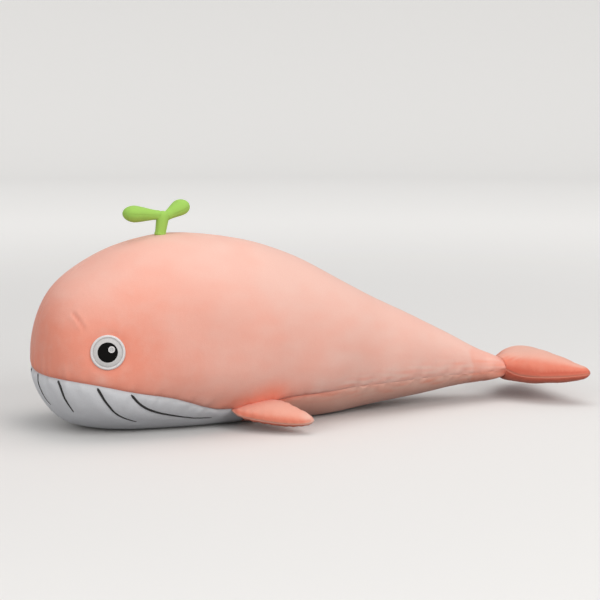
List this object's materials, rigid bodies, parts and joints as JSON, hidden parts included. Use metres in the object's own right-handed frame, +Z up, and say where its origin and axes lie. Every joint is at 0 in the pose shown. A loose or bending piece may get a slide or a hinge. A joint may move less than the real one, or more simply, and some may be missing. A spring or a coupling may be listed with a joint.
{
  "type": "plush whale",
  "caption": "Plush whale lying on its belly, with stuffed velvet body, side flippers and tail fluke that bend at their seams, striped white belly and a swaying leafy sprout on its head.",
  "frame": {"origin": "on the surface that the whale lies on, under the middle of its length", "axes": "head towards -X, tail towards +X, left side towards -Y, +Z up"},
  "size_m": [0.8228, 0.3288, 0.3139],
  "materials": {
    "white velvet": "short soft pile",
    "pink velvet": "short soft pile",
    "salmon velvet": "short soft pile",
    "green fleece": "smooth short pile",
    "eye felt": "flat felt",
    "white satin stitch": "satin thread",
    "black felt": "flat felt",
    "black satin stitch": "satin thread",
    "fibre filling": "loose polyester fibre"
  },
  "bodies": {
    "body": {"upper_panel_left": "pink velvet", "upper_panel_right": "pink velvet", "belly_panel": "white velvet", "underside_panel": "salmon velvet", "body_stuffing": "fibre filling", "eye_patch_left": "eye felt", "eye_rim_left": "white satin stitch", "pupil_left": "black felt", "eye_glint_left": "white satin stitch", "eye_patch_right": "eye felt", "eye_rim_right": "white satin stitch", "pupil_right": "black felt", "eye_glint_right": "white satin stitch", "throat_stripe_chin_left": "black satin stitch", "throat_stripe_front_left": "black satin stitch", "throat_stripe_middle_left": "black satin stitch", "throat_stripe_rear_left": "black satin stitch", "throat_stripe_chin_right": "black satin stitch", "throat_stripe_front_right": "black satin stitch", "throat_stripe_middle_right": "black satin stitch", "throat_stripe_rear_right": "black satin stitch"},
    "left_flipper": {"flipper_upper_panel_left": "salmon velvet", "flipper_lower_panel_left": "salmon velvet", "flipper_stuffing_left": "fibre filling"},
    "right_flipper": {"flipper_upper_panel_right": "salmon velvet", "flipper_lower_panel_right": "salmon velvet", "flipper_stuffing_right": "fibre filling"},
    "tail_fluke": {"fluke_upper_panel": "salmon velvet", "fluke_lower_panel": "salmon velvet", "fluke_stuffing": "fibre filling"},
    "sprout_stem": {"stem_skin": "green fleece", "stem_stuffing": "fibre filling"},
    "front_leaf": {"leaf_upper_panel_front": "green fleece", "leaf_lower_panel_front": "green fleece", "leaf_stuffing_front": "fibre filling"},
    "rear_leaf": {"leaf_upper_panel_rear": "green fleece", "leaf_lower_panel_rear": "green fleece", "leaf_stuffing_rear": "fibre filling"}
  },
  "joints": [
    {"name": "left_flipper_flap", "type": "hinge", "parent": "body", "child": "left_flipper", "pos_m": [-0.12166, -0.10565, 0.03156], "axis": [-0.9927, 0.0303, -0.1171], "range_deg": [-8, 20], "stiffness_Nm_per_rad": 0.12},
    {"name": "right_flipper_flap", "type": "hinge", "parent": "body", "child": "right_flipper", "pos_m": [-0.12166, 0.10565, 0.03156], "axis": [0.9927, 0.0303, 0.1171], "range_deg": [-8, 20], "stiffness_Nm_per_rad": 0.12},
    {"name": "tail_fluke_flex", "type": "hinge", "parent": "body", "child": "tail_fluke", "pos_m": [0.30515, 0, 0.04761], "axis": [0, -1, 0], "range_deg": [-18, 25], "stiffness_Nm_per_rad": 1.2},
    {"name": "sprout_sway", "type": "hinge", "parent": "body", "child": "sprout_stem", "pos_m": [-0.22627, 0, 0.26604], "axis": [0, 1, 0], "range_deg": [-20, 14], "stiffness_Nm_per_rad": 0.06},
    {"name": "front_leaf_flap", "type": "hinge", "parent": "sprout_stem", "child": "front_leaf", "pos_m": [-0.22855, 0, 0.29323], "axis": [0, 1, 0], "range_deg": [-12, 20], "stiffness_Nm_per_rad": 0.04},
    {"name": "rear_leaf_flap", "type": "hinge", "parent": "sprout_stem", "child": "rear_leaf", "pos_m": [-0.21631, 0.00275, 0.29129], "axis": [0.4174, -0.9063, -0.0661], "range_deg": [-15, 20], "stiffness_Nm_per_rad": 0.04}
  ]
}
